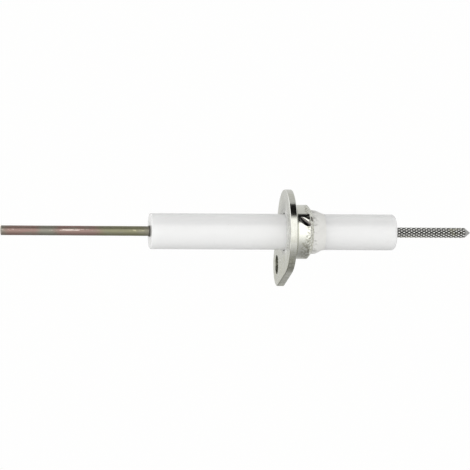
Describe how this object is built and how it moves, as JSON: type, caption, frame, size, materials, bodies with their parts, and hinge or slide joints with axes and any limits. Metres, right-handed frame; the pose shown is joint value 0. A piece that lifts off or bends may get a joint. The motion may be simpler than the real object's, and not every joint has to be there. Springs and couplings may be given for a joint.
{
  "type": "ignition electrode",
  "caption": "Bare wire spark electrode in a long ceramic tube with a crimped one-screw flange and a knurled, pointed terminal pin.",
  "frame": {"origin": "the tube's axis at the flange plate's burner-side face", "axes": "+X along the electrode from the burner end to the terminal, +Z opposite the screw lobe, +Y across the flange"},
  "size_m": [0.1452, 0.026, 0.0361],
  "materials": {
    "electrode_wire": "heat-tinted, oxidised",
    "terminal_steel": "diamond knurl, nickel plated",
    "coupling_steel": "turned",
    "alumina": "glazed, white",
    "flange_steel": "stamped, nickel plated",
    "collar_steel": "turned, nickel plated",
    "seal": "pressed mineral fibre",
    "cement": "matt refractory cement"
  },
  "bodies": {
    "root": {"electrode_rod": "electrode_wire", "terminal_pin": "terminal_steel", "rod_coupling": "coupling_steel", "insulator": "alumina", "flange_plate": "flange_steel", "crimp_collar": "collar_steel", "seat_gasket": "seal", "crimp_packing": "seal", "collar_seal_bead": "cement", "burner_end_cement": "cement", "terminal_end_cement": "cement"}
  },
  "joints": []
}
